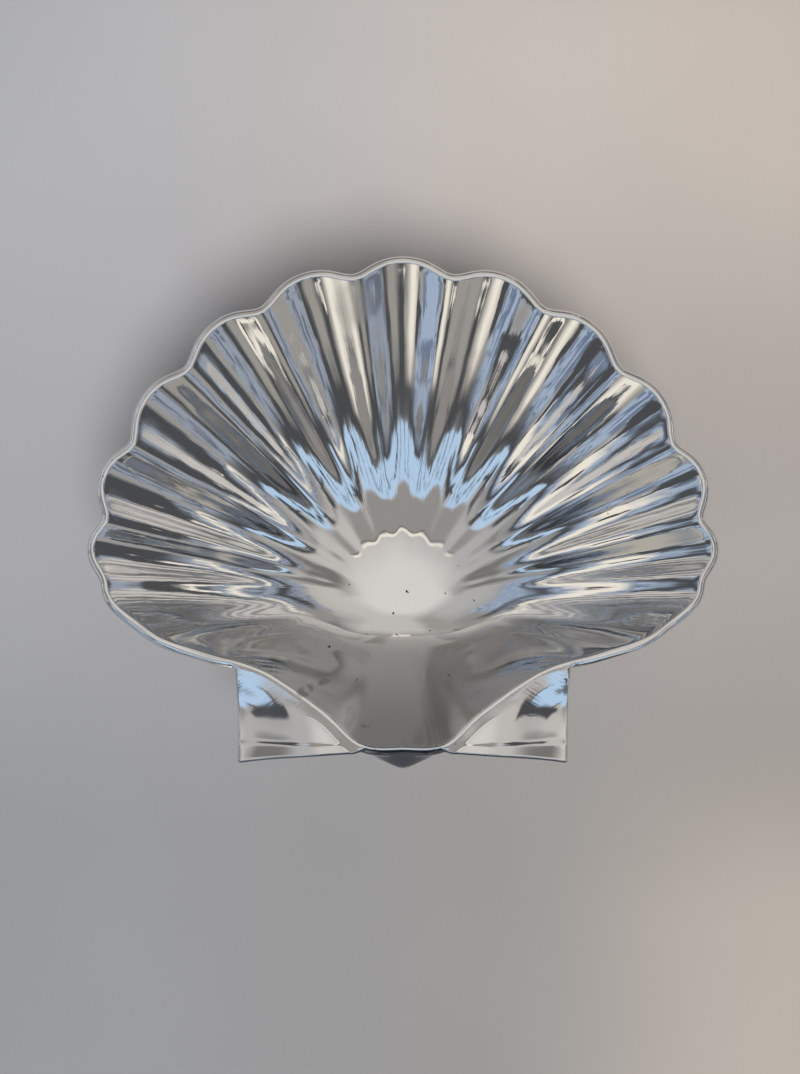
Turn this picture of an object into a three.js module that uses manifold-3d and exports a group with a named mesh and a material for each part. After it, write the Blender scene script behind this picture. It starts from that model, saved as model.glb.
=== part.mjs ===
import * as THREE from 'three';
import { LoftGeometry } from 'three/addons/geometries/LoftGeometry.js';
import { mergeVertices } from 'three/addons/utils/BufferGeometryUtils.js';
import Module from 'manifold-3d';

// A scallop shell dish: one polished aluminium casting on three turned feet.
// Millimetres, +Z up, the table at z = 0. +Y runs from the hinge to the far edge of the fan.
// The shape is worked out round the focus, the point of the plan that the flutes run to, and
// is moved at the end so that the origin lies under the middle of the dish.

// Main size: from the focus to the middle of the far edge. The plan grows with it.
const FAN_RADIUS = 164;

// Mean line of the bowl's opening, right half: degrees round the focus from +Y, and the share
// of the fan's radius there.
const OPENING_LINE = [
  [0, 1], [20, 0.99], [40, 0.962], [60, 0.938], [75, 0.912], [84, 0.868], [90, 0.803],
  [95, 0.713], [99.7, 0.616], [104.3, 0.522], [109.3, 0.457], [118, 0.403], [134, 0.365],
  [150, 0.369], [162, 0.393], [180, 0.384],
];
// The rounder line that the floor keeps, given at the size that it would have at the rim.
const FLOOR_LINE = [[0, 1], [45, 0.963], [80, 0.89], [110, 0.646], [140, 0.463], [180, 0.381]];

// Bowl
const BOWL_DEPTH = 84;
const WALL = 5;
const RIM_ROUND = 1.75;
const CRISP_EDGE = 0.8;
const CRISP_START = 98;
const CRISP_FULL = 110;
const TABLE_CLEARANCE = 6;
const RISE_START = 0.03;
const RISE_SOFTNESS = 0.07;
const FLOOR_LINE_ENDS = 0.3;

// Flutes
const FLUTE_PITCH = 16.6;
const FLUTE_HEIGHT = 3.2;
const FLUTE_CREST_WIDTH = 0.12;
const FLUTE_TIP = 0.33;
const FLUTE_FULL = 0.6;
const NARROWING_START = 55;
const NARROWING_SPAN = 60.6;
const NARROWING_POWER = 1.5;
const FADE_START = 75;
const FADE_END = 86;
const FLUTES_EACH_SIDE = 6;

// Ears, the flat wings each side of the hinge
const EAR_HALF_WIDTH = 0.489 * FAN_RADIUS;
const EAR_CORNER_Y = -0.4465 * FAN_RADIUS;
const EAR_CORNER_RADIUS = 2;
const EAR_THICKNESS = 4.6;
const EAR_EDGE_ROUND = 1.6;
const EAR_NECK = 7;
const HINGE_ARCH = 1.6;
const EAR_START = 105;
const EAR_CORNER = 126;
const EAR_CORNER_SPAN = 1.5;
const EAR_END = 165;
const EAR_DISH_DEPTH = 6.5;
const EAR_DISH_Y = -0.3475 * FAN_RADIUS;
const EAR_DISH_TO_BOWL = 33;
const EAR_DISH_TO_HINGE = 43;
const EAR_DISH_START = 38;
const EAR_DISH_FULL = 80;
const EAR_DISH_EASE = 12;
const RIDGE_HEIGHT = 0.8;
const RIDGE_WIDTH = 3.5;
const EAR_MERGE = 0.12;
const EAR_HINGE_MERGE = 0.045;
const UNDER_EAR_LOWEST = 0.6;

// Beak, the point that the shell's back ends in past the hinge
const BEAK_REACH = 12.4;
const BEAK_TIP_RADIUS = 4;
const BEAK_FLANK = 20;
const BEAK_LEVEL = 0.95;
const BEAK_FOOT = 0.45;

// Feet: three on one circle, screwed up into bosses on the underside
const FEET_CIRCLE = 0.366 * FAN_RADIUS;
const FEET_CENTRE_Y = 0.171 * FAN_RADIUS;
const FOOT_HEIGHT = 12.5;
const FOOT_RADIUS = 10.5;
const FOOT_NECK_RADIUS = 7;
const FOOT_BASE_RADIUS = 9;
const BOSS_RADIUS = 7.5;
const BOSS_DRAFT = 0.12;
const PAD_RADIUS = 7;
const PAD_THICKNESS = 3;
const PAD_STAND = 1.5;
const SCREW_RADIUS = 2;
const SCREW_LENGTH = 12;
const SCREW_HEAD_RADIUS = 4;
const SCREW_HEAD_HEIGHT = 3.1;
const SCREW_KEY_WIDTH = 2.5;
const SCREW_KEY_DEPTH = 1.6;
const WASHER_RADIUS = 3.8;
const WASHER_THICKNESS = 0.9;
const WASHER_SPLIT = 18;
const HEAD_ROOM = 0.5;
const HOLE_END_ROOM = 1.4;
const FIT_GAP = 0.3;

// Facets
const ROWS_PER_FLUTE = 8;
const LOWER_SIDE_ROWS = 9;
const EAR_SIDE_ROWS = 8;
const EAR_CORNER_ROWS = 3;
const EAR_HINGE_ROWS = 9;
const HINGE_ROWS = 5;
const SKIN_SHARES = [0, 0.14, 0.28, 0.4, 0.52, 0.64, 0.76, 0.87, BEAK_LEVEL, 1];
const RIDGE_STEPS = 2;
const EAR_STEPS = 6;
const EDGE_STEPS = 4;
const UNDERSIDE_STEPS = 4;
const TURNED_SEGMENTS = 24;
const ARC_STEPS = 5;
const KEY_SIDES = 6;
const CLOSE_ENOUGH = 1e-8;

// Levels that follow from the sizes above
const FLOOR_UNDERSIDE = TABLE_CLEARANCE;
const FLOOR_TOP = FLOOR_UNDERSIDE + WALL;
const SEAT_LEVEL = PAD_STAND + FOOT_HEIGHT;
const WASHER_SEAT = PAD_THICKNESS + HEAD_ROOM + SCREW_HEAD_HEIGHT + WASHER_THICKNESS;
const HEAD_LEVEL = WASHER_SEAT - WASHER_THICKNESS;
const SCREW_TIP = HEAD_LEVEL + SCREW_LENGTH;

const { smoothstep, lerp, degToRad } = THREE.MathUtils;
const wasm = await Module();
wasm.setup();

// A smooth line through [angle, radius] knots, level at both ends so that its mirror image
// joins on without a kink. The slopes at the knots settle to those of an even bend.
function smoothLine(knots) {
  const slopes = knots.map(() => 0);
  const steepness = (i) => (knots[i + 1][1] - knots[i][1]) / (knots[i + 1][0] - knots[i][0]);
  const settlingRounds = 60;
  for (let round = 0; round < settlingRounds; round++) {
    for (let i = 1; i < knots.length - 1; i++) {
      const before = knots[i][0] - knots[i - 1][0];
      const after = knots[i + 1][0] - knots[i][0];
      const pull = 3 * (after * steepness(i - 1) + before * steepness(i));
      const neighbours = after * slopes[i - 1] + before * slopes[i + 1];
      slopes[i] = (pull - neighbours) / (2 * (before + after));
    }
  }
  return (angle) => {
    let i = 0;
    while (i < knots.length - 2 && angle > knots[i + 1][0]) i++;
    const span = knots[i + 1][0] - knots[i][0];
    const t = (angle - knots[i][0]) / span;
    const s = 1 - t;
    const start = knots[i][1] * s * s * (1 + 2 * t) + slopes[i] * span * t * s * s;
    const end = knots[i + 1][1] * t * t * (1 + 2 * s) - slopes[i + 1] * span * t * t * s;
    return start + end;
  };
}

const inFull = ([angle, share]) => [angle, share * FAN_RADIUS];
const openingRadius = smoothLine(OPENING_LINE.map(inFull));
const floorRadius = smoothLine(FLOOR_LINE.map(inFull));

// Flutes are counted outwards from the middle one. They grow narrow near the sides.
function fluteCount(angle) {
  const narrowing = Math.max(0, angle - NARROWING_START) / NARROWING_SPAN;
  return angle / FLUTE_PITCH + narrowing ** NARROWING_POWER;
}

function angleOfFlute(count) {
  let low = 0;
  let high = 180;
  while (high - low > CLOSE_ENOUGH) {
    const middle = (low + high) / 2;
    if (fluteCount(middle) < count) low = middle;
    else high = middle;
  }
  return (low + high) / 2;
}

function fluteWave(angle) {
  const turn = 2 * Math.PI * fluteCount(angle);
  const fade = 1 - smoothstep(angle, FADE_START, FADE_END);
  return fade * (Math.cos(turn) - FLUTE_CREST_WIDTH * Math.cos(2 * turn));
}

// Share of the bowl's depth that the wall has climbed at a share of the way out: a small flat
// middle, and from there a wall that steepens evenly up to the rim.
function climb(share) {
  const rise = (from) => from ** 3 / (from + RISE_SOFTNESS);
  return rise(Math.max(0, share - RISE_START)) / rise(1 - RISE_START);
}

// Inner face of the bowl. Angles past 180 degrees mirror those before.
function innerPoint(share, angle) {
  const side = Math.min(angle, 360 - angle);
  const opening = smoothstep(share, FLOOR_LINE_ENDS, 1);
  const mean = share * lerp(floorRadius(side), openingRadius(side), opening);
  const flute = FLUTE_HEIGHT * fluteWave(side) * smoothstep(share, FLUTE_TIP, FLUTE_FULL);
  const radius = mean + flute;
  const turn = degToRad(angle);
  const height = FLOOR_TOP + BOWL_DEPTH * climb(share);
  return new THREE.Vector3(radius * Math.sin(turn), radius * Math.cos(turn), height);
}

// Directions at a point of the inner face: up the wall, and through it to the outside.
function wallDirections(share, angle) {
  if (share < RISE_START) {
    return { up: new THREE.Vector3(0, 0, 0), out: new THREE.Vector3(0, 0, -1) };
  }
  const shareStep = 1e-4;
  const angleStep = 1e-2;
  const up = innerPoint(share, angle).sub(innerPoint(share - shareStep, angle)).normalize();
  const ahead = innerPoint(share, angle + angleStep);
  const along = ahead.sub(innerPoint(share, angle - angleStep)).normalize();
  const out = new THREE.Vector3().crossVectors(up, along).normalize();
  return { up, out };
}

// How far the beak stands out from the back of the bowl at a place on it.
function beakReach(share, inner) {
  if (inner.y > 0) return 0;
  const flank = (Math.hypot(inner.x, BEAK_TIP_RADIUS) - BEAK_TIP_RADIUS) / BEAK_FLANK;
  const below = smoothstep(share, BEAK_FOOT, BEAK_LEVEL);
  const above = Math.min(1, (1 - share) / (1 - BEAK_LEVEL));
  return BEAK_REACH * Math.max(0, 1 - flank) * below * above;
}

// Face of the bowl at a depth into the wall: 0 is the inner face, WALL the outer one.
function wallPoint(share, angle, depth) {
  const inner = innerPoint(share, angle);
  const { out } = wallDirections(share, angle);
  const reach = depth < WALL ? 0 : beakReach(share, inner);
  const point = inner.clone().addScaledVector(out, depth);
  point.y -= reach;
  return point;
}

// The rounded edge of the rim: two quarters of ellipses across the end of the wall, of equal
// width round the fan. At the ears and the hinge the inner one is narrow, for a crisp edge.
function rimEdge(angle) {
  const { up, out } = wallDirections(1, angle);
  const side = Math.min(angle, 360 - angle);
  const inside = lerp(WALL / 2, CRISP_EDGE, smoothstep(side, CRISP_START, CRISP_FULL));
  const middle = innerPoint(1, angle).addScaledVector(out, inside);
  const crest = Math.atan2(RIM_ROUND * up.z, -inside * out.z);
  const point = (turn) => {
    const width = turn < Math.PI / 2 ? inside : WALL - inside;
    return middle.clone()
      .addScaledVector(out, -width * Math.cos(turn))
      .addScaledVector(up, RIM_ROUND * Math.sin(turn));
  };
  return { crest, point };
}

// Outline of the right ear: from the lower side of the fan down to the corner, then along
// the hinge to the middle. Gives the point and the way out of the ear there.
function quadratic(start, control, end, t) {
  const s = 1 - t;
  const point = start.clone().multiplyScalar(s * s);
  return point.addScaledVector(control, 2 * s * t).addScaledVector(end, t * t);
}

function outermost(angle) {
  const { crest, point } = rimEdge(angle);
  const steps = 40;
  let best = point(crest);
  for (let i = 1; i <= steps; i++) {
    const next = point(lerp(crest, Math.PI, i / steps));
    if (next.y < best.y) best = next;
  }
  return new THREE.Vector2(best.x, best.y);
}

function earOutline() {
  const neck = outermost(EAR_START);
  const lip = outermost(EAR_END);
  const corner = new THREE.Vector2(EAR_HALF_WIDTH, EAR_CORNER_Y);
  const neckEnd = new THREE.Vector2(EAR_HALF_WIDTH, neck.y - EAR_NECK);
  const neckBend = new THREE.Vector2(EAR_HALF_WIDTH, neck.y - EAR_NECK / 4);
  const arch = corner.clone().add(lip).multiplyScalar(0.5);
  arch.y += HINGE_ARCH;
  const sideOut = new THREE.Vector2(1, 0);
  const hingeOut = outwards((t) => quadratic(corner, arch, lip, t), 0);
  const inset = EAR_CORNER_RADIUS / (1 + sideOut.dot(hingeOut));
  const centre = corner.clone().addScaledVector(sideOut, -inset).addScaledVector(hingeOut, -inset);
  const sideEnd = centre.clone().addScaledVector(sideOut, EAR_CORNER_RADIUS);
  const hingeStart = centre.clone().addScaledVector(hingeOut, EAR_CORNER_RADIUS);
  const neckShare = 0.3;
  const side = (t) => (t < neckShare
    ? quadratic(neck, neckBend, neckEnd, t / neckShare)
    : neckEnd.clone().lerp(sideEnd, (t - neckShare) / (1 - neckShare)));
  const round = (t) => {
    const out = new THREE.Vector2();
    out.x = Math.cos(hingeOut.angle() * t + 2 * Math.PI * (1 - t));
    out.y = Math.sin(hingeOut.angle() * t + 2 * Math.PI * (1 - t));
    return centre.clone().addScaledVector(out, EAR_CORNER_RADIUS);
  };
  const hinge = (t) => quadratic(hingeStart, arch, lip, t);
  return { side, round, hinge };
}

function outwards(line, t) {
  const step = 1e-3;
  const from = line(Math.max(0, t - step));
  const along = line(Math.min(1, t + step)).sub(from).normalize();
  return new THREE.Vector2(-along.y, along.x);
}

// Rows run from the middle of the bowl out to the rim. Each ear row also knows the place on
// the ear's outline that it ends at, and how fully the ear has grown out of the rim there.
function earRows() {
  const { side, round, hinge } = earOutline();
  const rows = [];
  const crowding = 1.5;
  const beforeCorner = EAR_CORNER - EAR_CORNER_SPAN / 2;
  const afterCorner = EAR_CORNER + EAR_CORNER_SPAN / 2;
  for (let i = 0; i < EAR_SIDE_ROWS; i++) {
    const t = i / EAR_SIDE_ROWS;
    const angle = lerp(EAR_START, beforeCorner, t ** crowding);
    rows.push({ angle, end: side(t), out: outwards(side, t), place: t / 2 });
  }
  for (let i = 0; i <= EAR_CORNER_ROWS; i++) {
    const t = i / EAR_CORNER_ROWS;
    const angle = lerp(beforeCorner, afterCorner, t);
    rows.push({ angle, end: round(t), out: outwards(round, t), place: 0.5 });
  }
  for (let i = 1; i <= EAR_HINGE_ROWS; i++) {
    const t = i / EAR_HINGE_ROWS;
    const angle = lerp(afterCorner, EAR_END, t);
    rows.push({ angle, end: hinge(t), out: outwards(hinge, t), place: 0.5 + t / 2 });
  }
  for (const row of rows) {
    const grown = Math.min(row.place / EAR_MERGE, (1 - row.place) / EAR_HINGE_MERGE);
    row.growth = smoothstep(grown, 0, 1);
  }
  return rows;
}

function rightHalfRows() {
  const rows = [];
  const fanRows = Math.round(FLUTES_EACH_SIDE * ROWS_PER_FLUTE);
  for (let i = 0; i <= fanRows; i++) {
    rows.push({ angle: angleOfFlute(i / ROWS_PER_FLUTE), growth: 0 });
  }
  const fanEnd = rows[rows.length - 1].angle;
  for (let i = 1; i < LOWER_SIDE_ROWS; i++) {
    rows.push({ angle: lerp(fanEnd, EAR_START, i / LOWER_SIDE_ROWS), growth: 0 });
  }
  rows.push(...earRows());
  for (let i = 1; i <= HINGE_ROWS; i++) {
    rows.push({ angle: lerp(EAR_END, 180, i / HINGE_ROWS), growth: 0 });
  }
  return rows;
}

// How far the ear's top lies under the ridge: dished, deepest outwards near the hinge edge.
function earDrop(point, ridge) {
  const distance = Math.hypot(point.x - ridge.x, point.y - ridge.y);
  const off = point.y - EAR_DISH_Y;
  const across = off / (off > 0 ? EAR_DISH_TO_BOWL : EAR_DISH_TO_HINGE);
  const outer = smoothstep(point.x, EAR_DISH_START, EAR_DISH_FULL);
  const dish = EAR_DISH_DEPTH * outer * Math.max(0, 1 - across ** 2);
  const settled = (width) => 1 - Math.exp(-((distance / width) ** 2));
  return RIDGE_HEIGHT * settled(RIDGE_WIDTH) + dish * settled(EAR_DISH_EASE);
}

// Share of the way out at which the underside of the ear meets the outer face of the bowl.
function underEarShare(row, ridge) {
  let low = UNDER_EAR_LOWEST;
  let high = 1;
  while (high - low > CLOSE_ENOUGH) {
    const middle = (low + high) / 2;
    const point = wallPoint(middle, row.angle, WALL);
    const underside = ridge.z - earDrop(point, ridge) - EAR_THICKNESS;
    if (point.z < underside) low = middle;
    else high = middle;
  }
  return high;
}

// The part of a row past the ridge: over the ear, round its edge and back under it. Where
// there is no ear it is just the round of the rim, and the ear's own steps fall together.
function rowPastRidge(row) {
  const { crest, point: rimPoint } = rimEdge(row.angle);
  const ridge = rimPoint(crest);
  const joinShare = row.growth > 0 ? lerp(1, underEarShare(row, ridge), row.growth) : 1;
  const join = wallPoint(joinShare, row.angle, WALL);
  const inEar = row.growth > 0;
  const rowEnd = inEar ? row.end.clone().addScaledVector(row.out, -EAR_EDGE_ROUND) : null;
  const points = [];
  const add = (plain, ear) => {
    points.push(inEar ? plain.clone().lerp(ear(), row.growth) : plain);
  };
  const onEar = (start, t, depth) => {
    const x = lerp(start.x, rowEnd.x, t);
    const y = lerp(start.y, rowEnd.y, t);
    return new THREE.Vector3(x, y, ridge.z - earDrop({ x, y }, ridge) - depth);
  };
  for (let i = 1; i <= EAR_STEPS; i++) {
    add(ridge, () => onEar(ridge, i / EAR_STEPS, 0));
  }
  for (let i = 1; i <= EDGE_STEPS; i++) {
    const turn = Math.PI * (i / EDGE_STEPS);
    const depth = (EAR_THICKNESS / 2) * (1 - Math.cos(turn));
    const reach = EAR_EDGE_ROUND * Math.sin(turn);
    add(rimPoint(lerp(crest, Math.PI, i / EDGE_STEPS)), () => {
      const edge = onEar(ridge, 1, depth);
      return edge.add(new THREE.Vector3(row.out.x * reach, row.out.y * reach, 0));
    });
  }
  for (let i = 1; i <= UNDERSIDE_STEPS; i++) {
    const t = 1 - i / UNDERSIDE_STEPS;
    add(join, () => onEar(join, t, EAR_THICKNESS));
  }
  return { points, joinShare };
}

// One whole row: out along the inner face, over the rim or ear, and back under the bowl.
function castingRow(row) {
  const { crest, point: rimPoint } = rimEdge(row.angle);
  const inner = SKIN_SHARES.map((share) => innerPoint(share, row.angle));
  const ridge = [];
  for (let i = 1; i <= RIDGE_STEPS; i++) ridge.push(rimPoint((crest * i) / RIDGE_STEPS));
  const { points, joinShare } = rowPastRidge(row);
  const back = [...SKIN_SHARES].reverse().slice(1);
  const outer = back.map((share) => wallPoint(share * joinShare, row.angle, WALL));
  return [...inner, ...ridge, ...points, ...outer];
}

function mirrored(point) {
  return new THREE.Vector3(-point.x, point.y, point.z);
}

// Closed rings round the focus from the rows of both halves.
function ringsOf(rightRows) {
  const leftRows = rightRows.slice(1, -1).reverse().map((points) => points.map(mirrored));
  const rows = [...rightRows, ...leftRows];
  return rightRows[0].map((_, i) => rows.map((points) => points[i]));
}

// A closed mesh with shared corners and no collapsed triangles, as three.js geometry.
function welded(geometry) {
  const bare = new THREE.BufferGeometry();
  bare.setAttribute('position', geometry.getAttribute('position'));
  bare.setIndex(geometry.getIndex());
  const merged = mergeVertices(bare);
  const kept = [];
  const index = merged.getIndex().array;
  for (let i = 0; i < index.length; i += 3) {
    const [a, b, c] = [index[i], index[i + 1], index[i + 2]];
    if (a !== b && b !== c && c !== a) kept.push(a, b, c);
  }
  merged.setIndex(kept);
  return merged;
}

function solid(geometry) {
  const mesh = welded(geometry);
  const vertProperties = Float32Array.from(mesh.getAttribute('position').array);
  const triVerts = Uint32Array.from(mesh.getIndex().array);
  return new wasm.Manifold(new wasm.Mesh({ numProp: 3, vertProperties, triVerts }));
}

function geometryOf(manifold) {
  const { vertProperties, triVerts } = manifold.getMesh();
  const geometry = new THREE.BufferGeometry();
  geometry.setAttribute('position', new THREE.BufferAttribute(vertProperties, 3));
  geometry.setIndex(new THREE.BufferAttribute(triVerts, 1));
  geometry.computeVertexNormals();
  return geometry;
}

// Turned pieces: a profile of [radius, height] points about the Z axis.
function turned(profile) {
  const points = profile.map(([radius, height]) => new THREE.Vector2(radius, height));
  const geometry = new THREE.LatheGeometry(points, TURNED_SEGMENTS);
  geometry.rotateX(Math.PI / 2);
  return geometry;
}

function arc(centre, radii, fromDegrees, toDegrees) {
  const points = [];
  for (let i = 0; i <= ARC_STEPS; i++) {
    const turn = degToRad(lerp(fromDegrees, toDegrees, i / ARC_STEPS));
    const radius = centre[0] + radii[0] * Math.cos(turn);
    points.push([radius, centre[1] + radii[1] * Math.sin(turn)]);
  }
  return points;
}

// Places of the feet round their circle: one under the hinge side, two under the fan.
const FEET = [
  { name: 'rear', degrees: 180 },
  { name: 'front_right', degrees: 60 },
  { name: 'front_left', degrees: -60 },
].map(({ name, degrees }) => {
  const turn = degToRad(degrees);
  const x = FEET_CIRCLE * Math.sin(turn);
  const y = FEET_CENTRE_Y + FEET_CIRCLE * Math.cos(turn);
  return { name, x, y };
});

// The space inside the bowl down to the middle of its wall, where the bosses stop.
function bowlCore(rows) {
  const lines = rows.map((row) => SKIN_SHARES.map(
    (share) => wallPoint(share, row.angle, WALL / 2),
  ));
  const rings = ringsOf(lines).map((ring) => ring.reverse());
  return solid(new LoftGeometry(rings, { capEnd: true }));
}

// A tapered post under the bowl, cut off inside the wall by the bowl's core.
function boss({ x, y }, core) {
  const top = FLOOR_TOP + BOWL_DEPTH / 2;
  const root = BOSS_RADIUS + BOSS_DRAFT * (top - SEAT_LEVEL);
  const profile = [[0, SEAT_LEVEL], [BOSS_RADIUS, SEAT_LEVEL], [root, top], [0, top]];
  const post = solid(turned(profile)).translate([x, y, 0]);
  return post.subtract(core);
}

function tappedHole({ x, y }) {
  const radius = SCREW_RADIUS + FIT_GAP;
  const end = SCREW_TIP + HOLE_END_ROOM;
  const start = SEAT_LEVEL - WALL;
  const profile = [[0, start], [radius, start], [radius, end], [0, end]];
  return solid(turned(profile)).translate([x, y, 0]);
}

function casting() {
  const rows = rightHalfRows();
  let body = solid(new LoftGeometry(ringsOf(rows.map(castingRow))));
  const core = bowlCore(rows);
  for (const place of FEET) body = body.add(boss(place, core));
  for (const place of FEET) body = body.subtract(tappedHole(place));
  return geometryOf(body);
}

// Bun foot: recess for the pad below, room for the screw's head, and a clear hole above.
function foot() {
  const bottom = PAD_STAND;
  const waist = bottom + FOOT_HEIGHT / 2;
  const belly = FOOT_RADIUS - FOOT_BASE_RADIUS;
  const padBore = PAD_RADIUS + FIT_GAP;
  const headBore = SCREW_HEAD_RADIUS + FIT_GAP;
  const screwBore = SCREW_RADIUS + FIT_GAP;
  return turned([
    [padBore, bottom],
    ...arc([FOOT_BASE_RADIUS, waist], [belly, FOOT_HEIGHT / 2], -90, 0),
    ...arc([FOOT_NECK_RADIUS, waist], [FOOT_RADIUS - FOOT_NECK_RADIUS, FOOT_HEIGHT / 3], 0, 90)
      .slice(1),
    [FOOT_NECK_RADIUS, SEAT_LEVEL],
    [screwBore, SEAT_LEVEL],
    [screwBore, WASHER_SEAT],
    [headBore, WASHER_SEAT],
    [headBore, PAD_THICKNESS],
    [padBore, PAD_THICKNESS],
    [padBore, bottom],
  ]);
}

function pad() {
  const chamfer = 0.4;
  return turned([
    [0, 0],
    [PAD_RADIUS - chamfer, 0],
    [PAD_RADIUS, chamfer],
    [PAD_RADIUS, PAD_THICKNESS],
    [0, PAD_THICKNESS],
  ]);
}

// Button head screw, head down, with a six-sided key recess.
function screw() {
  const headBottom = HEAD_LEVEL - SCREW_HEAD_HEIGHT;
  const flat = SCREW_HEAD_RADIUS / 2;
  const dome = arc([flat, HEAD_LEVEL], [SCREW_HEAD_RADIUS - flat, SCREW_HEAD_HEIGHT], -90, 0);
  const point = SCREW_RADIUS / 4;
  const blank = solid(turned([
    [0, headBottom],
    ...dome,
    [SCREW_RADIUS, HEAD_LEVEL],
    [SCREW_RADIUS, SCREW_TIP - point],
    [SCREW_RADIUS - point, SCREW_TIP],
    [0, SCREW_TIP],
  ]));
  const keyRadius = SCREW_KEY_WIDTH / 2 / Math.cos(Math.PI / KEY_SIDES);
  const key = new THREE.CylinderGeometry(keyRadius, keyRadius, 2 * SCREW_KEY_DEPTH, KEY_SIDES);
  key.rotateX(Math.PI / 2);
  key.translate(0, 0, headBottom);
  return geometryOf(blank.subtract(solid(key)));
}

// Spring washer: a ring with one split.
function washer() {
  const inner = SCREW_RADIUS + FIT_GAP;
  const from = degToRad(WASHER_SPLIT / 2);
  const to = 2 * Math.PI - from;
  const ring = new THREE.Shape();
  ring.absarc(0, 0, WASHER_RADIUS, from, to, false);
  ring.absarc(0, 0, inner, to, from, true);
  ring.closePath();
  const geometry = new THREE.ExtrudeGeometry(ring, {
    depth: WASHER_THICKNESS, bevelEnabled: false, curveSegments: TURNED_SEGMENTS / 2,
  });
  geometry.translate(0, 0, HEAD_LEVEL);
  return geometry;
}

const polishedAluminium = { color: 0xdadbdd, roughness: 0.12, metalness: 1 };
const turnedAluminium = { color: 0xc9cbce, roughness: 0.3, metalness: 1 };
const steel = { color: 0xb4b6b9, roughness: 0.35, metalness: 1 };
const rubber = { color: 0x242424, roughness: 0.9, metalness: 0 };

function part(name, geometry, finish) {
  const mesh = new THREE.Mesh(geometry, new THREE.MeshStandardMaterial(finish));
  mesh.name = name;
  return mesh;
}

function footAssembly({ name, x, y }) {
  const assembly = new THREE.Group();
  assembly.position.set(x, y, 0);
  assembly.add(part(`foot_${name}`, foot(), turnedAluminium));
  assembly.add(part(`foot_pad_${name}`, pad(), rubber));
  assembly.add(part(`foot_screw_${name}`, screw(), steel));
  assembly.add(part(`foot_washer_${name}`, washer(), steel));
  return assembly;
}

function shellDish() {
  const shell = casting();
  shell.computeBoundingBox();
  const middle = shell.boundingBox.getCenter(new THREE.Vector3());
  const dish = new THREE.Group();
  dish.position.set(0, -middle.y, 0);
  dish.add(part('shell_dish', shell, polishedAluminium));
  for (const place of FEET) dish.add(footAssembly(place));
  const group = new THREE.Group();
  group.name = 'shell_dish_on_feet';
  group.add(dish);
  return group;
}

const group = shellDish();

export default group;
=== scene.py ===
import math
import bpy
import numpy as np
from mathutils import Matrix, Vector
from mathutils.bvhtree import BVHTree

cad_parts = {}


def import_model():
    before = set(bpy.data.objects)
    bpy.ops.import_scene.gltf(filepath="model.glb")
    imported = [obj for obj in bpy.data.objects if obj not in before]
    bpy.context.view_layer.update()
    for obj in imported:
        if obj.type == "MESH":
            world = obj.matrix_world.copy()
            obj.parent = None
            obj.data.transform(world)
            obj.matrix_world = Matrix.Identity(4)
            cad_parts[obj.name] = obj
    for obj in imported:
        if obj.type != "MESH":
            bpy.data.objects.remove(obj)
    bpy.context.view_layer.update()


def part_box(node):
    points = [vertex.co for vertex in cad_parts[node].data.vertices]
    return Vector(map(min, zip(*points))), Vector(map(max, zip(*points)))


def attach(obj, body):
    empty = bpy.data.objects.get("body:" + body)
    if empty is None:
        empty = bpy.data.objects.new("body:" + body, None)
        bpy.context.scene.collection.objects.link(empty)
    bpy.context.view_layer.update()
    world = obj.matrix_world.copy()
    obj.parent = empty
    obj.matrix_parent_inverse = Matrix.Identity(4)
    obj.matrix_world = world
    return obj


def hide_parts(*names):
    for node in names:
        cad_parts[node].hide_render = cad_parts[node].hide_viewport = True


# The looks of a polished cast aluminium scallop shell dish, seen from straight above.
# The casting is rebuilt from the same formulas as the solid, with far finer facets, so that
# its mirror finish runs smoothly. Shapes are worked out in millimetres round the focus of the
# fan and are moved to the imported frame, in metres, at the end.

MM = 0.001

# Bowl
FAN_RADIUS = 164
OPENING_LINE = (
    (0, 1), (20, 0.99), (40, 0.962), (60, 0.938), (75, 0.912), (84, 0.868), (90, 0.803),
    (95, 0.713), (99.7, 0.616), (104.3, 0.522), (109.3, 0.457), (118, 0.403), (134, 0.365),
    (150, 0.369), (162, 0.393), (180, 0.384),
)
FLOOR_LINE = ((0, 1), (45, 0.963), (80, 0.89), (110, 0.646), (140, 0.463), (180, 0.381))
BOWL_DEPTH = 84
WALL = 5
RIM_ROUND = 1.75
CRISP_EDGE = 0.8
CRISP_START = 98
CRISP_FULL = 110
FLOOR_TOP = 11
RISE_START = 0.03
RISE_SOFTNESS = 0.07
FLOOR_LINE_ENDS = 0.3

# Flutes
FLUTE_PITCH = 16.6
FLUTE_HEIGHT = 3.2
FLUTE_CREST_WIDTH = 0.12
FLUTE_TIP = 0.33
FLUTE_FULL = 0.6
NARROWING_START = 55
NARROWING_SPAN = 60.6
NARROWING_POWER = 1.5
FADE_START = 75
FADE_END = 86
FAN_END = 83
# Traces of the flutes that run on over the floor, by shares of the way out
TRACE_HEIGHT = 0.15
TRACE_RISE = (0.2, 0.32)
TRACE_FADE = (0.4, 0.6)
# Ripples beyond the last flutes, by angles and by shares of the way out
RIPPLE_HEIGHT = 0.8
RIPPLE_PITCH = 8.5
RIPPLE_RISE = (74, 82)
RIPPLE_FADE = (98, 108)
RIPPLE_OUTER = (0.4, 0.7)

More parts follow.
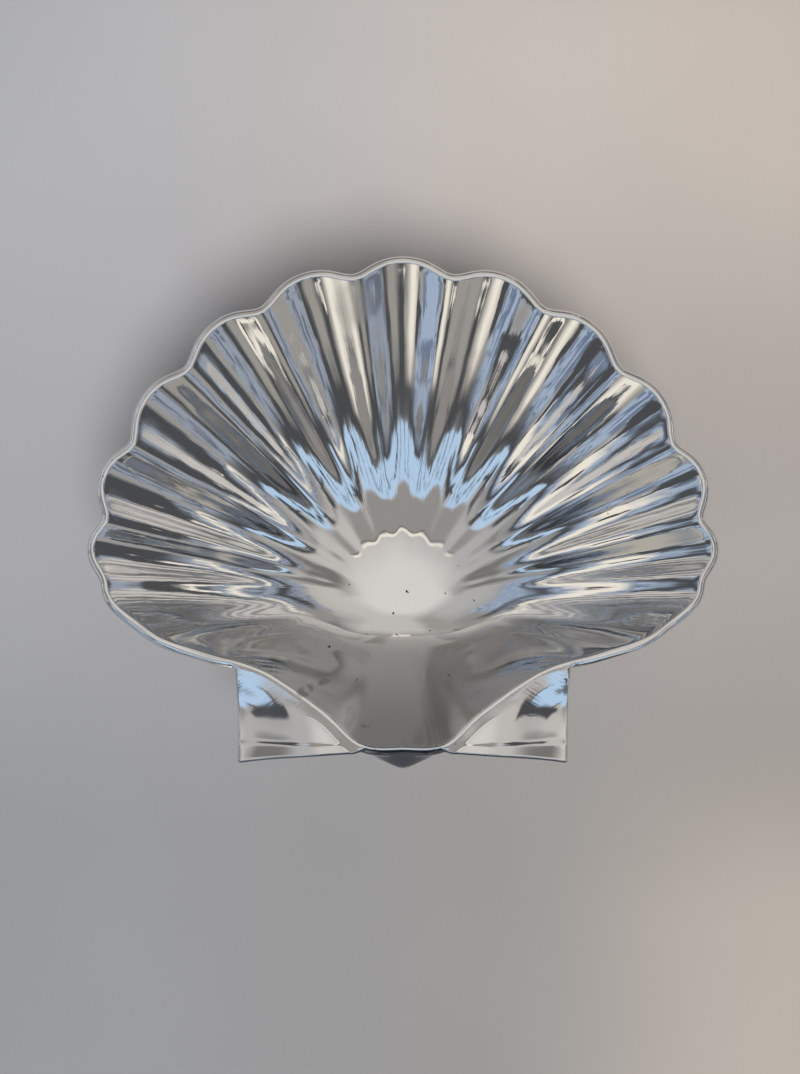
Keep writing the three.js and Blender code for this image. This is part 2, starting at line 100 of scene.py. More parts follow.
# Ears
EAR_HALF_WIDTH = 0.489 * FAN_RADIUS
EAR_CORNER_Y = -0.4465 * FAN_RADIUS
EAR_CORNER_RADIUS = 2
EAR_THICKNESS = 4.6
EAR_EDGE_ROUND = 1.6
EAR_NECK = 7
EAR_NECK_SHARE = 0.3
EAR_NECK_BEND = 0.25 * EAR_NECK
HINGE_ARCH = 1.6
EAR_START = 105
EAR_CORNER = 126
EAR_CORNER_SPAN = 1.5
EAR_END = 165
EAR_DISH_DEPTH = 6.5
EAR_DISH_Y = -0.3475 * FAN_RADIUS
EAR_DISH_TO_BOWL = 33
EAR_DISH_TO_HINGE = 43
EAR_DISH_START = 38
EAR_DISH_FULL = 80
EAR_DISH_EASE = 12
HINGE_STEP = 0.35
HINGE_STEP_Y = -0.381 * FAN_RADIUS
HINGE_STEP_WIDTH = 2.2
RIDGE_HEIGHT = 0.8
RIDGE_WIDTH = 3.5
EAR_MERGE = 0.12
EAR_HINGE_MERGE = 0.045
EAR_CROWDING = 1.5
UNDER_EAR_LOWEST = 0.6

# Beak
BEAK_REACH = 12.4
BEAK_TIP_RADIUS = 4
BEAK_FLANK = 20
BEAK_LEVEL = 0.95
BEAK_FOOT = 0.45

# Polish: the fan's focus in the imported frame, and how fine the grain is round it and outwards
FOCUS_Y = -47
GRAIN_ACROSS = 12.0
GRAIN_ALONG = 6.0
# Casting pits that the polish has opened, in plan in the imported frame: x, y and radius
PITS = (
    (2.5, -41.4, 0.56), (-5.2, -53.6, 0.63), (-3, -65.4, 0.5), (24, -42.2, 0.35),
    (-30, -37.2, 0.42), (15.5, -63.2, 0.35), (-40, -70, 0.49), (40, -46, 0.3),
)
# Stains: x, y and the two radii
STAINS = ((-47, -84.5, 3.5, 2.2), (-39, -83, 3, 1.2), (-18, -101.6, 3, 2.6))
# Where the polish stayed coarse, near the far rim
COARSE_PLACES = ((-25, 104, 9, 10),)
# How softly their edges fade
PIT_EDGE = 0.3
STAIN_EDGE = 0.6
COARSE_EDGE = 0.8
# Places on the casting, in metres in the imported frame, over which a finish or its painted shade
# changes
FLUTES_FROM = (0.035, 0.06)
BOWL_FROM = (-0.1, -0.085)
LOBES_ASIDE = (0.07, 0.12)
LOBES_UP_TO = (-0.02, 0.01)
HINGE_UP_TO = (-0.04, -0.01)
HINGE_DARKER = (-0.11, -0.07)
BACK_UP_TO = (-0.108, -0.105)
# How far the surface faces the far rim, or downwards, over which a finish or its painted shade
# changes
HINGE_FACING = (0.5, 0.78)
BACK_FACING = (-0.45, -0.2)
BELOW_FACING = (-0.35, -0.1)
# Depths of the polish's marks in metres, and how far its stains and pits are ragged
LOBE_WAVE = 0.0016
HAND_WAVE = 0.00035
GRAIN_LINE = 0.00004
SAND_GRAIN = 0.0002
PIT_DEPTH = 0.0006
RAGGED = 0.001
# Noises of the polish: how fine each is, and how many finer layers it has
LOBE_NOISE = (0.8, 0.0)
HAND_NOISE = (40.0, 1.0)
GRAIN_NOISE = (6.0, 3.0)
SAND_NOISE = (900.0, 3.0)
RAGGED_NOISE = (700.0, 2.0)
PIT_NOISE = (30.0, 2.0)
STAIN_NOISE = (130.0, 2.0)
HAZE_NOISE = (18.0, 3.0)
HAIRLINE_NOISE = (60.0, 2.0)
# Heights of those noises over which a mark comes in
PIT_SHOWS = (0.6, 0.66)
STAIN_SHOWS = (0.35, 0.55)
HAZE_SHOWS = (0.45, 0.8)
HAIRLINE_SHOWS = (0.5, 0.75)
# Small pits: how fine their cells are, and their edges as shares of a cell
PIT_CELLS = 160.0
PIT_IN_CELL = (0.03, 0.07)
# Roughness of the polish at its clearest and haziest, and what marks add to it
HAZE = (0.03, 0.12)
HAIRLINE_ROUGHNESS = 0.06
SAND_ROUGHNESS = 0.17
COARSE_ROUGHNESS = 0.17
STAIN_ROUGHNESS = 0.4
# Tones
ALUMINIUM = (0.86, 0.85, 0.84)
# Painted shade on the hinge wall where it faces the far rim, darkest near the hinge
HINGE_PAINTED_SHADE_TONES = ((0.3, 0.3, 0.31), (0.5, 0.5, 0.5))
# Painted shade on the beak's rear face and the ears' hinge edges, where they face away from the
# fan
BACK_PAINTED_SHADE_TONE = (0.16, 0.17, 0.2)
STAIN_TONE = (0.25, 0.24, 0.23)
STAIN_STRENGTH = 0.5
PIT_TONE = (0.04, 0.04, 0.045)

# Finishes of the feet: tones, roughness, spacing in millimetres and depth in metres of the
# turning marks, and noises as above
TURNED_TONE = (0.78, 0.79, 0.8)
TURNED_ROUGHNESS = (0.22, 0.38)
TURNED_MARKS = (0.35, 0.00002)
TURNED_WEAR = (400.0, 3.0)
STEEL_TONE = (0.62, 0.63, 0.65)
STEEL_ROUGHNESS = (0.25, 0.45)
STEEL_MARKS = (0.2, 0.00001)
STEEL_WEAR = (700.0, 3.0)
WEAR_SHOWS = (0.3, 0.7)
UNEVEN_MARKS = (300.0, 2.0)
RUBBER_TONE = (0.025, 0.025, 0.025)
DUST_TONE = (0.07, 0.068, 0.065)
RUBBER_ROUGHNESS = 0.85
RUBBER_GRAIN = 0.00005
RUBBER_NOISE = (2500.0, 3.0)
DUST_NOISE = (500.0, 3.0)
DUST_SHOWS = (0.5, 0.8)

# Feet
FEET = ("rear", "front_right", "front_left")
REAR_FOOT_Y = (0.171 - 0.366) * FAN_RADIUS
SEAT_LEVEL = 14
BOSS_RADIUS = 7.5
BOSS_DRAFT = 0.12
BOSS_FILLET = 4
BOSS_IN_WALL = 1.5
HOLE_RADIUS = 2.3
HOLE_END = 20.1
FOOT_BOTTOM = 1.5
FOOT_RADIUS = 10.5
FOOT_NECK_RADIUS = 7
FOOT_BASE_RADIUS = 9
FOOT_SHOULDER = 2 / 3
PAD_RADIUS = 7
PAD_THICKNESS = 3
PAD_CHAMFER = 0.6
HEAD_BORE = 4.3
WASHER_SEAT = 7.5
FIT_GAP = 0.3

# Facets of the fine casting
FAN_ROWS = 300
LOWER_SIDE_ROWS = 60
EAR_SIDE_ROWS = 48
EAR_CORNER_ROWS = 12
EAR_HINGE_ROWS = 72
HINGE_ROWS = 30
SKIN_STEPS = 72
RIDGE_STEPS = 8
EAR_STEPS = 30
EDGE_STEPS = 16
UNDERSIDE_STEPS = 16
ROUND_STEPS = 96
ARC_STEPS = 20
FILLET_STEPS = 8
MERGE_WITHIN = 1e-4
# Degrees between facets from which an edge stays sharp
CASTING_SHARP = 50
FOOT_SHARP = 40

# Camera: straight above, with the picture's place and scale on the level of the rim's outline
CAMERA_CENTRE = (-1.4, -10.5)
CAMERA_ABOVE_RIM = 450
RIM_LEVEL = 91
PICTURE_HEIGHT = 516.5
SENSOR_WIDTH = 36

# Table top: its tones are painted light and shade, darker near the hinge side, paler beyond the
# fan, lighter in the near right corner, cool at left and warm at right; and the places in metres
# over which one turns into the next
FLOOR_HALF_WIDTH = 6
FLOOR_ROUGHNESS = 0.55
FLOOR_NEAR_PAINTED_SHADE = (0.225, 0.225, 0.225)
FLOOR_MIDDLE_PAINTED_SHADE = (0.305, 0.3, 0.305)
FLOOR_FAR_LEFT_PAINTED_LIGHT = (0.37, 0.365, 0.365)
FLOOR_FAR_RIGHT_PAINTED_LIGHT = (0.46, 0.435, 0.415)
FLOOR_CORNER_PAINTED_HIGHLIGHT = (0.34, 0.325, 0.31)
FLOOR_LEFT_PAINTED_COOL_LIGHT = (1.04, 1.07, 1.13)
FLOOR_RIGHT_PAINTED_WARM_LIGHT = (1.04, 0.98, 0.92)
NEAR_TO_MIDDLE = (-0.2, 0.0)
MIDDLE_TO_FAR = (0.0, 0.28)
FAR_LEFT_TO_RIGHT = (-0.25, 0.1)
LEFT_TO_RIGHT = (-0.25, 0.25)
CORNER_ASIDE = (0.04, 0.22)
CORNER_UP_TO = (-0.24, -0.1)
FLOOR_CLOUD = (0.97, 1.03)
FLOOR_NOISE = (4.0, 3.0)
FLOOR_SHOWS = (0.3, 0.7)

# Studio
BACKDROP = (0.62, 0.61, 0.6)
LAMP_PLACE = (0.25, -0.75, 1.9)
LAMP_SIZE = 0.9
LAMP_POWER = 42
LAMP_COLOUR = (1, 0.98, 0.95)
CEILING_LEFT = (0.48, 0.475, 0.475)
CEILING_RIGHT = (0.58, 0.56, 0.54)
CEILING_TOP = (0.74, 0.715, 0.69)
FAR_GREY = (0.14, 0.142, 0.148)
MID_GREY = (0.2, 0.195, 0.185)
BROWN_GREY = (0.32, 0.305, 0.295)
LIGHT_GREY = (0.36, 0.348, 0.325)
DARK = (0.075, 0.078, 0.084)
SKY = (0.5, 0.68, 0.9)
LINED_BLUE = (0.4, 0.49, 0.64)
GREY_BLUE = (0.34, 0.385, 0.47)
# The dark veins that run through both blues
VEINS = {LINED_BLUE: (0.17, 0.22, 0.32), GREY_BLUE: (0.15, 0.175, 0.22)}
CREAM = (0.95, 0.9, 0.8)
# How strongly the veins twist, and between which heights of their waves they show
VEIN_TURNS = 70
VEIN_EDGE = (0.1, 0.9)
VEIN_NOISE = (3.0, 2.0)
CEILING_CHANGE = (-0.14, 0.12)
ROOM_WARP = 0.12
WARP_NOISE = (5.0, 1.0)
ROOM_RADIUS = 20
ROOM_RINGS = 48

# What the polish mirrors: degrees round from -Y towards +X with the softness of the edges,
# degrees up with the same, and colour. A later panel covers the ones before it. A panel that
# crosses +Y, where the degrees start again, stands here twice.
ROOM = (
    ((-200, 200, 1), (-120, 38, 22), FAR_GREY),
    ((150, 210, 8), (24, 70, 12), CEILING_RIGHT),
    ((-210, -150, 8), (24, 70, 12), CEILING_RIGHT),
    ((-168, -146, 8), (24, 66, 12), LIGHT_GREY),
    ((84, 130, 3), (-30, 46, 3), GREY_BLUE),
    ((84, 134, 3), (34, 39, 2), DARK),
    ((126, 142, 4), (-30, 42, 3), BROWN_GREY),
    ((-134, -92, 3), (-30, 46, 3), LINED_BLUE),
    ((-148, -130, 4), (-30, 42, 3), BROWN_GREY),
    ((-92, 85, 3), (-90, 34, 2), LIGHT_GREY),
    ((60, 90, 4), (-30, 33, 3), GREY_BLUE),
    ((60, 134, 4), (21, 25, 2), CREAM),
    ((60, 134, 4), (4, 16, 2), DARK),
    ((60, 134, 4), (-14, -2, 2), DARK),
    ((-100, -60, 4), (-30, 33, 3), LINED_BLUE),
    ((-138, -60, 4), (29, 34, 2), DARK),
    ((-138, -60, 4), (13, 23, 3), CREAM),
    ((-138, -60, 4), (3, 8, 2), DARK),
    ((-54, -30, 4), (-10, 30, 3), LINED_BLUE),
    ((-21, -9, 5), (-10, 30, 5), CREAM),
    ((-3, 8, 3), (-90, 34, 2), DARK),
    ((22, 29, 3), (-10, 34, 3), DARK),
    ((30, 52, 3), (-10, 30, 3), GREY_BLUE),
    ((-62, 60, 4), (23, 34, 5), DARK),
    ((-34, 32, 3), (34, 53, 1.5), SKY),
    ((-20, -18, 0.5), (33, 51, 1), DARK),
    ((-7, -4.5, 0.5), (33, 49, 1), DARK),
    ((8, 10, 0.5), (33, 52, 1), DARK),
    ((20, 23, 0.5), (33, 48, 1), DARK),
    ((-56, -31, 3), (30, 43, 1), SKY),
    ((29, 54, 3), (30, 43, 1), SKY),
    ((-56, -31, 3), (43.5, 44.7, 0.4), DARK),
    ((29, 54, 3), (43.5, 44.7, 0.4), DARK),
    ((-52, -40, 2), (38, 52, 2), DARK),
    ((40, 52, 2), (38, 52, 2), DARK),
    ((-38, 36, 8), (53, 66, 1.2), BROWN_GREY),
    ((-40, 38, 3), (65.4, 66.6, 0.5), MID_GREY),
    ((-40, 38, 3), (66.9, 68.6, 0.5), CREAM),
    ((-210, 210, 1), (73, 130, 9), CEILING_TOP),
    ((68, 95, 6), (46, 70, 7), MID_GREY),
    ((-95, -70, 6), (46, 70, 7), MID_GREY),
)
# Furniture: light and dark patches low in the room, by the height of a noise
CLUTTER = ((0.66, 0.69, CREAM), (0.39, 0.36, DARK))
CLUTTER_NOISE = (3.5, 3.0)
CLUTTER_UP_TO = (24, 32)


def smoothstep(value, low, high):
    t = np.clip((value - low) / (high - low), 0, 1)
    return t * t * (3 - 2 * t)


def lerp(start, end, t):
    return start + (end - start) * t


def smooth_line(knots):
    """A smooth line through knots of angle and share of the fan, level at both ends."""
    places = np.array([knot[0] for knot in knots], float)
    values = np.array([knot[1] for knot in knots], float) * FAN_RADIUS
    spans = np.diff(places)
    steepness = np.diff(values) / spans
    slopes = np.zeros(len(knots))
    settling_rounds = 60
    for _ in range(settling_rounds):
        for i in range(1, len(knots) - 1):
            before = spans[i - 1]
            after = spans[i]
            pull = 3 * (after * steepness[i - 1] + before * steepness[i])
            neighbours = after * slopes[i - 1] + before * slopes[i + 1]
            slopes[i] = (pull - neighbours) / (2 * (before + after))

    def line(angle):
        i = np.clip(np.searchsorted(places, angle, side="right") - 1, 0, len(spans) - 1)
        t = (angle - places[i]) / spans[i]
        s = 1 - t
        start = values[i] * s * s * (1 + 2 * t) + slopes[i] * spans[i] * t * s * s
        end = values[i + 1] * t * t * (1 + 2 * s) - slopes[i + 1] * spans[i] * t * t * s
        return start + end

    return line


opening_radius = smooth_line(OPENING_LINE)
floor_radius = smooth_line(FLOOR_LINE)


def flute_wave(angle):
    narrowing = np.maximum(0, angle - NARROWING_START) / NARROWING_SPAN
    turn = 2 * np.pi * (angle / FLUTE_PITCH + narrowing ** NARROWING_POWER)
    fade = 1 - smoothstep(angle, FADE_START, FADE_END)
    return fade * (np.cos(turn) - FLUTE_CREST_WIDTH * np.cos(2 * turn))


def flute_trace(share, angle):
    rise = smoothstep(share, *TRACE_RISE)
    fade = 1 - smoothstep(share, *TRACE_FADE)
    return TRACE_HEIGHT * flute_wave(angle) * rise * fade


def ripple(share, angle):
    rise = smoothstep(angle, *RIPPLE_RISE)
    fade = 1 - smoothstep(angle, *RIPPLE_FADE)
    wave = np.sin(2 * np.pi * angle / RIPPLE_PITCH)
    return RIPPLE_HEIGHT * wave * rise * fade * smoothstep(share, *RIPPLE_OUTER)


def climb(share):
    def rise(start):
        return start ** 3 / (start + RISE_SOFTNESS)

    return rise(np.maximum(0, share - RISE_START)) / rise(1 - RISE_START)


def inner_point(share, angle):
    """The bowl's inner face, at shares of the way out and angles from +Y on the right half."""
    side = np.abs(angle)
    opening = smoothstep(share, FLOOR_LINE_ENDS, 1)
    mean = share * lerp(floor_radius(side), opening_radius(side), opening)
    flute = FLUTE_HEIGHT * flute_wave(side) * smoothstep(share, FLUTE_TIP, FLUTE_FULL)
    turn = np.radians(angle)
    height = FLOOR_TOP + BOWL_DEPTH * climb(share) - flute_trace(share, side)
    radius = mean + flute + ripple(share, side)
    return np.stack([radius * np.sin(turn), radius * np.cos(turn), height + 0 * turn], -1)


def unit(vectors):
    shortest = 1e-12
    length = np.linalg.norm(vectors, axis=-1, keepdims=True)
    return vectors / np.maximum(length, shortest)


def wall_directions(share, angle):
    """Directions up the wall and out through it."""
    share_step = 1e-4
    angle_step = 1e-2
    here = np.maximum(share, RISE_START / 2)
    up = unit(inner_point(here, angle) - inner_point(here - share_step, angle))
    ahead = inner_point(here, angle + angle_step)
    along = unit(ahead - inner_point(here, angle - angle_step))
    return up, unit(np.cross(up, along))


def beak_reach(share, inner):
    off_middle = np.hypot(inner[..., 0], BEAK_TIP_RADIUS) - BEAK_TIP_RADIUS
    below = smoothstep(share, BEAK_FOOT, BEAK_LEVEL)
    above = np.minimum(1, (1 - share) / (1 - BEAK_LEVEL))
    reach = BEAK_REACH * np.maximum(0, 1 - off_middle / BEAK_FLANK) * below * above
    return np.where(inner[..., 1] > 0, 0, reach)


def outer_point(share, angle):
    inner = inner_point(share, angle)
    out = wall_directions(share, angle)[1]
    point = inner + WALL * out
    point[..., 1] -= beak_reach(share, inner)
    return point


def rim_edge(angle):
    """The rounded edge of the rim, crisp at the ears and the hinge: its crest as a turn, and
    its points by turn."""
    up, out = wall_directions(1.0, angle)
    crisp = smoothstep(np.abs(angle), CRISP_START, CRISP_FULL)
    inside = lerp(WALL / 2, CRISP_EDGE, crisp)
    middle = inner_point(1.0, angle) + inside[:, None] * out
    crest = np.arctan2(RIM_ROUND * up[:, 2], -inside * out[:, 2])

    def point(turn):
        width = np.where(turn < np.pi / 2, inside, WALL - inside)
        across = -(width * np.cos(turn))[:, None] * out
        return middle + across + RIM_ROUND * np.sin(turn)[:, None] * up

    return crest, point


def quadratic(start, control, end, t):
    t = np.asarray(t, float)[:, None]
    s = 1 - t
    return s * s * start + 2 * s * t * control + t * t * end


def outermost(angle):
    """The place on the rim's round that reaches furthest towards the hinge."""
    tries = 400
    crest, point = rim_edge(np.array([angle], float))
    turns = np.linspace(0, 1, tries)
    places = np.array([point(lerp(crest, np.pi, t))[0] for t in turns])
    return places[places[:, 1].argmin(), :2]


def outwards(line, t):
    step = 1e-3
    t = np.asarray(t, float)
    along = unit(line(np.minimum(1, t + step)) - line(np.maximum(0, t - step)))
    return np.stack([-along[:, 1], along[:, 0]], -1)


def ear_outline():
    neck = outermost(EAR_START)
    lip = outermost(EAR_END)
    corner = np.array([EAR_HALF_WIDTH, EAR_CORNER_Y])
    neck_end = np.array([EAR_HALF_WIDTH, neck[1] - EAR_NECK])
    neck_bend = np.array([EAR_HALF_WIDTH, neck[1] - EAR_NECK_BEND])
    arch = (corner + lip) / 2 + np.array([0, HINGE_ARCH])
    side_out = np.array([1.0, 0.0])
    hinge_out = outwards(lambda t: quadratic(corner, arch, lip, t), [0.0])[0]
    hinge_turn = np.arctan2(hinge_out[1], hinge_out[0])
    inset = EAR_CORNER_RADIUS / (1 + side_out @ hinge_out)
    centre = corner - inset * (side_out + hinge_out)
    side_end = centre + EAR_CORNER_RADIUS * side_out
    hinge_start = centre + EAR_CORNER_RADIUS * hinge_out

    def side(t):
        t = np.asarray(t, float)
        bend = quadratic(neck, neck_bend, neck_end, t / EAR_NECK_SHARE)
        straight = (t - EAR_NECK_SHARE) / (1 - EAR_NECK_SHARE)
        line = lerp(neck_end, side_end, straight[:, None])
        return np.where((t < EAR_NECK_SHARE)[:, None], bend, line)

    def corner_round(t):
        turn = hinge_turn * np.asarray(t, float)
        way = np.stack([np.cos(turn), np.sin(turn)], -1)
        return centre + EAR_CORNER_RADIUS * way

    def hinge(t):
        return quadratic(hinge_start, arch, lip, t)

    return side, corner_round, hinge


def ear_rows():
    """Angles, ends, ways out and growth of the rows that run out over the right ear."""
    side, corner_round, hinge = ear_outline()
    side_t = np.arange(EAR_SIDE_ROWS) / EAR_SIDE_ROWS
    corner_t = np.arange(EAR_CORNER_ROWS + 1) / EAR_CORNER_ROWS
    hinge_t = np.arange(1, EAR_HINGE_ROWS + 1) / EAR_HINGE_ROWS
    before_corner = EAR_CORNER - EAR_CORNER_SPAN / 2
    after_corner = EAR_CORNER + EAR_CORNER_SPAN / 2
    angles = np.concatenate([
        lerp(EAR_START, before_corner, side_t ** EAR_CROWDING),
        lerp(before_corner, after_corner, corner_t),
        lerp(after_corner, EAR_END, hinge_t),
    ])
    lines = ((side, side_t), (corner_round, corner_t), (hinge, hinge_t))
    ends = np.concatenate([line(t) for line, t in lines])
    out = np.concatenate([outwards(line, t) for line, t in lines])
    place = np.concatenate([side_t / 2, 0 * corner_t + 0.5, 0.5 + hinge_t / 2])
    grown = np.minimum(place / EAR_MERGE, (1 - place) / EAR_HINGE_MERGE)
    growth = smoothstep(grown, 0, 1)
    return angles, ends, out, growth


def right_half_rows():
    fan = np.linspace(0, FAN_END, FAN_ROWS, endpoint=False)
    lower = np.linspace(FAN_END, EAR_START, LOWER_SIDE_ROWS, endpoint=False)
    last = np.linspace(EAR_END, 180, HINGE_ROWS + 1)[1:]
    angles, ends, out, growth = ear_rows()
    plain = len(fan) + len(lower)
    nowhere = ((plain, len(last)), (0, 0))
    return (
        np.concatenate([fan, lower, angles, last]),
        np.pad(ends, nowhere),
        np.pad(out, nowhere),
        np.pad(growth, (plain, len(last))),
    )


def ear_drop(point, ridge):
    """How far the ear's top lies under the ridge: dished, deepest out near the hinge edge."""
    distance = np.hypot(point[..., 0] - ridge[..., 0], point[..., 1] - ridge[..., 1])
    off = point[..., 1] - EAR_DISH_Y
    across = off / np.where(off > 0, EAR_DISH_TO_BOWL, EAR_DISH_TO_HINGE)
    outer = smoothstep(point[..., 0], EAR_DISH_START, EAR_DISH_FULL)
    dish = EAR_DISH_DEPTH * outer * np.maximum(0, 1 - across ** 2)
    half = HINGE_STEP_WIDTH / 2
    past = 1 - smoothstep(point[..., 1], HINGE_STEP_Y - half, HINGE_STEP_Y + half)
    dish = dish + HINGE_STEP * past

    def settled(width):
        return 1 - np.exp(-((distance / width) ** 2))

    return RIDGE_HEIGHT * settled(RIDGE_WIDTH) + dish * settled(EAR_DISH_EASE)


def under_ear_share(angle, ridge):
    """Share at which the underside of the ear meets the outer face of the bowl."""
    low = np.full(len(angle), UNDER_EAR_LOWEST)
    high = np.ones(len(angle))
    halvings = 24
    for _ in range(halvings):
        middle = (low + high) / 2
        point = outer_point(middle, angle)
        below = point[:, 2] < ridge[:, 2] - ear_drop(point, ridge) - EAR_THICKNESS
        low = np.where(below, middle, low)
        high = np.where(below, high, middle)
    return high


def casting_grid():
    """Rows of points from the middle of the bowl over the rim or ear to the underside."""
    angle, end, way_out, growth = right_half_rows()
    crest, rim_point = rim_edge(angle)
    ridge = rim_point(crest)
    join_share = lerp(1, under_ear_share(angle, ridge), growth)
    join = outer_point(join_share, angle)
    row_end = end - EAR_EDGE_ROUND * way_out
    grown = growth[:, None]

    def on_ear(start, t, depth):
        place = lerp(start[:, :2], row_end, t)
        height = ridge[:, 2] - ear_drop(place, ridge) - depth
        return np.column_stack([place, height])

    shares = np.linspace(0, 1, SKIN_STEPS + 1)
    columns = [inner_point(share, angle) for share in shares]
    for i in range(1, RIDGE_STEPS + 1):
        columns.append(rim_point(crest * i / RIDGE_STEPS))
    for i in range(1, EAR_STEPS + 1):
        columns.append(lerp(ridge, on_ear(ridge, i / EAR_STEPS, 0), grown))
    for i in range(1, EDGE_STEPS + 1):
        turn = np.pi * i / EDGE_STEPS
        edge = on_ear(ridge, 1, (EAR_THICKNESS / 2) * (1 - math.cos(turn)))
        edge[:, :2] += EAR_EDGE_ROUND * math.sin(turn) * way_out
        plain = rim_point(lerp(crest, np.pi, i / EDGE_STEPS))
        columns.append(lerp(plain, edge, grown))
    for i in range(1, UNDERSIDE_STEPS + 1):
        under = on_ear(join, 1 - i / UNDERSIDE_STEPS, EAR_THICKNESS)
        columns.append(lerp(join, under, grown))
    for share in shares[::-1][1:]:
        columns.append(outer_point(share * join_share, angle))
    right = np.stack(columns, 1)
    left = right[1:-1][::-1] * np.array([-1, 1, 1])
    return np.concatenate([right, left])


def grid_parts(grid):
    """Points and faces of rows of points that close on themselves, equal points merged."""
    rows, columns = grid.shape[:2]
    flat = grid.reshape(-1, 3)
    keys = np.round(flat / MERGE_WITHIN).astype(np.int64)
    _, first, same = np.unique(keys, axis=0, return_index=True, return_inverse=True)
    same = same.reshape(rows, columns)
    after = np.roll(same, -1, axis=0)
    quads = np.stack([same[:, :-1], after[:, :-1], after[:, 1:], same[:, 1:]], -1)
    faces = []
    for quad in quads.reshape(-1, 4).tolist():
        corners = list(dict.fromkeys(quad))
        if len(corners) > 2:
            faces.append(corners)
    return flat[first], faces


def focus_shift():
    """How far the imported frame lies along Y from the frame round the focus."""
    low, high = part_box("foot_rear")
    return (low.y + high.y) / 2 / MM - REAR_FOOT_Y


def main_piece(name, mesh, material):
    piece = bpy.data.objects.new(name, mesh)
    bpy.context.collection.objects.link(piece)
    mesh.materials.append(material)
    mesh.shade_smooth()
    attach(piece, "root")
    return piece


def lathed(profile, turns=ROUND_STEPS):
    """Points of a profile of radius and height turned about the Z axis."""
    radius, height = np.array(profile, float).T
    turn = np.linspace(0, 2 * np.pi, turns, endpoint=False)[:, None]
    return np.stack([radius * np.cos(turn), radius * np.sin(turn), height + 0 * turn], -1)


def boss_grid(centre, skin):
    """The boss over a foot: its blind hole, seat and tapered side, and the fillet at its root."""
    x, y = centre
    turn = np.linspace(0, 2 * np.pi, ROUND_STEPS, endpoint=False)

    def ring(radius, height):
        return np.column_stack([x + radius * np.cos(turn), y + radius * np.sin(turn), height])

    def skin_over(radius):
        places = ring(radius, 0 * turn)
        up = Vector((0, 0, 1))
        return np.array([skin.ray_cast(Vector(place), up)[0].z for place in places])

    level = 0 * turn
    columns = [
        ring(level, level + HOLE_END),
        ring(HOLE_RADIUS + level, level + HOLE_END),
        ring(HOLE_RADIUS + level, level + SEAT_LEVEL),
        ring(BOSS_RADIUS + level, level + SEAT_LEVEL),
    ]
    root = BOSS_RADIUS + BOSS_DRAFT * (skin_over(BOSS_RADIUS + level) - SEAT_LEVEL)
    for i in range(FILLET_STEPS + 1):
        share = i / FILLET_STEPS
        radius = root + BOSS_FILLET * share
        under = BOSS_FILLET * (1 - math.sqrt(1 - (1 - share) ** 2))
        columns.append(ring(radius, skin_over(radius) - under))
    rim = root + BOSS_FILLET
    columns.append(ring(rim, skin_over(rim) + BOSS_IN_WALL))
    columns.append(ring(level, skin_over(level) + BOSS_IN_WALL))
    return np.stack(columns, 1)


def foot_place(foot):
    low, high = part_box(f"foot_{foot}")
    return (low.x + high.x) / 2 / MM, (low.y + high.y) / 2 / MM


def casting(material):
    """The whole casting as one mesh: the shell, and the feet's bosses under it."""
    grid = casting_grid()
    grid[..., 1] += focus_shift()
    shell = grid_parts(grid)
    skin = BVHTree.FromPolygons(*shell)
    points, faces = list(shell[0]), list(shell[1])
    for foot in FEET:
        more_points, more_faces = grid_parts(boss_grid(foot_place(foot), skin))
        start = len(points)
        points.extend(more_points)
        faces.extend([corner + start for corner in face] for face in more_faces)
    mesh = bpy.data.meshes.new("shell_casting")
    mesh.from_pydata(np.array(points) * MM, [], faces)
    piece = main_piece("shell_casting", mesh, material)
    mesh.set_sharp_from_angle(angle=math.radians(CASTING_SHARP))
    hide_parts("shell_dish")


def arc(centre, radii, start, end):
    turns = np.radians(np.linspace(start, end, ARC_STEPS + 1))
    return [
        (centre[0] + radii[0] * math.cos(turn), centre[1] + radii[1] * math.sin(turn))
        for turn in turns
    ]


def foot_profile():
    """The bun foot, with the recess for its pad, room for the screw's head and a clear hole."""
    half = (SEAT_LEVEL - FOOT_BOTTOM) / 2
    waist = FOOT_BOTTOM + half
    neck = FOOT_RADIUS - FOOT_NECK_RADIUS
    shoulder = half * FOOT_SHOULDER
    return [
        (PAD_RADIUS + FIT_GAP, FOOT_BOTTOM),
        *arc((FOOT_BASE_RADIUS, waist), (FOOT_RADIUS - FOOT_BASE_RADIUS, half), -90, 0),
        *arc((FOOT_NECK_RADIUS, waist), (neck, shoulder), 0, 90)[1:],
        (FOOT_NECK_RADIUS, SEAT_LEVEL),
        (HOLE_RADIUS, SEAT_LEVEL),
        (HOLE_RADIUS, WASHER_SEAT),
        (HEAD_BORE, WASHER_SEAT),
        (HEAD_BORE, PAD_THICKNESS),
        (PAD_RADIUS + FIT_GAP, PAD_THICKNESS),
        (PAD_RADIUS + FIT_GAP, FOOT_BOTTOM),
    ]


def pad_profile():
    return [
        (0, 0),
        *arc((PAD_RADIUS - PAD_CHAMFER, PAD_CHAMFER), (PAD_CHAMFER, PAD_CHAMFER), -90, 0),
        (PAD_RADIUS, PAD_THICKNESS),
        (0, PAD_THICKNESS),
    ]


def turned_piece(name, node, foot, profile, material, slot):
    grid = lathed(profile)
    grid[..., :2] += foot_place(foot)
    points, faces = grid_parts(grid)
    mesh = bpy.data.meshes.new(name)
    mesh.from_pydata(points * MM, [], faces)
    piece = main_piece(name, mesh, material)
    mesh.set_sharp_from_angle(angle=math.radians(FOOT_SHARP))
    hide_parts(node)


def feet(metal, rubber, steel):
    for foot in FEET:
        bun = (f"bun_{foot}", f"foot_{foot}", foot)
        turned_piece(*bun, foot_profile(), metal, "turned_aluminium")
        pad = (f"pad_{foot}", f"foot_pad_{foot}", foot)
        turned_piece(*pad, pad_profile(), rubber, "pad_rubber")
        for kind in ("screw", "washer"):
            node = bpy.data.objects[f"foot_{kind}_{foot}"]
            node.material_slots[0].material = steel


# Materials

